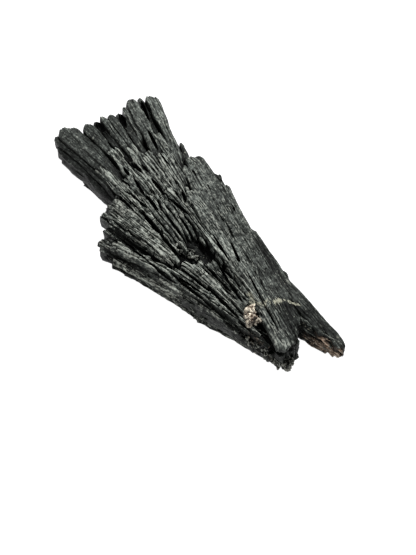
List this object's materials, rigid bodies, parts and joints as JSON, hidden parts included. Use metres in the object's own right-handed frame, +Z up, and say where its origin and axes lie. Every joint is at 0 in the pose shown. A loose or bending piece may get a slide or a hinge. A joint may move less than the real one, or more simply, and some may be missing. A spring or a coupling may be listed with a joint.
{
  "type": "black kyanite fan",
  "caption": "A natural fan of intergrown dark mineral blades, spread from one root, with a small pale crumb of matrix, lying on its flat side.",
  "frame": {"origin": "middle of the footprint, on the surface that the fan lies on", "axes": "+X from the broken, fanned ends to the root tip, +Y towards the back edge with the prong, +Z up through the thin way of the fan"},
  "size_m": [0.0772, 0.0311, 0.0115],
  "materials": {
    "kyanite": "dark grey to black blades with a silky lengthwise streak, pale dust on worn ridges and brown stain at one end",
    "matrix": "cream and brown glossy grains"
  },
  "bodies": {
    "root": {"kyanite_fan": "kyanite", "matrix_crumb": "matrix"}
  },
  "joints": []
}
